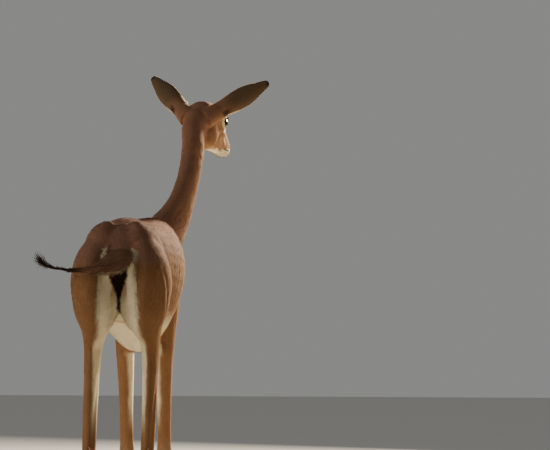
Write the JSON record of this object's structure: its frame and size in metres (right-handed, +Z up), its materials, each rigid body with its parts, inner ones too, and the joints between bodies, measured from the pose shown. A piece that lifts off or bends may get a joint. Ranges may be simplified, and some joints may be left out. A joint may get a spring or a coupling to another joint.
{
  "type": "gerenuk",
  "caption": "Life-size standing female gerenuk with a long slim neck, its head turned to its right, large ears held out and its tail swung to its left.",
  "frame": {"origin": "centre of the bounding box, at the level of the soles", "axes": "+Z up; the animal faces -Y and its left side is towards +X"},
  "size_m": [0.4914, 1.2322, 1.2556],
  "materials": {
    "coat": "short fawn hair",
    "saddle": "short dark brown hair",
    "ear": "very short grey-brown hair",
    "eye": "wet and glossy",
    "hoof": "satin horn",
    "tuft": "long black hair"
  },
  "bodies": {
    "root": {"ear_left": "ear", "ear_right": "ear", "eye_left": "eye", "eye_right": "eye", "foreleg_left": "coat", "foreleg_right": "coat", "head": "coat", "hindleg_left": "coat", "hindleg_right": "coat", "hoof_fore_left_inner": "hoof", "hoof_fore_left_outer": "hoof", "hoof_fore_right_inner": "hoof", "hoof_fore_right_outer": "hoof", "hoof_hind_left_inner": "hoof", "hoof_hind_left_outer": "hoof", "hoof_hind_right_inner": "hoof", "hoof_hind_right_outer": "hoof", "neck": "coat", "tail": "coat", "tail_tuft": "tuft", "torso": "saddle"}
  },
  "joints": []
}
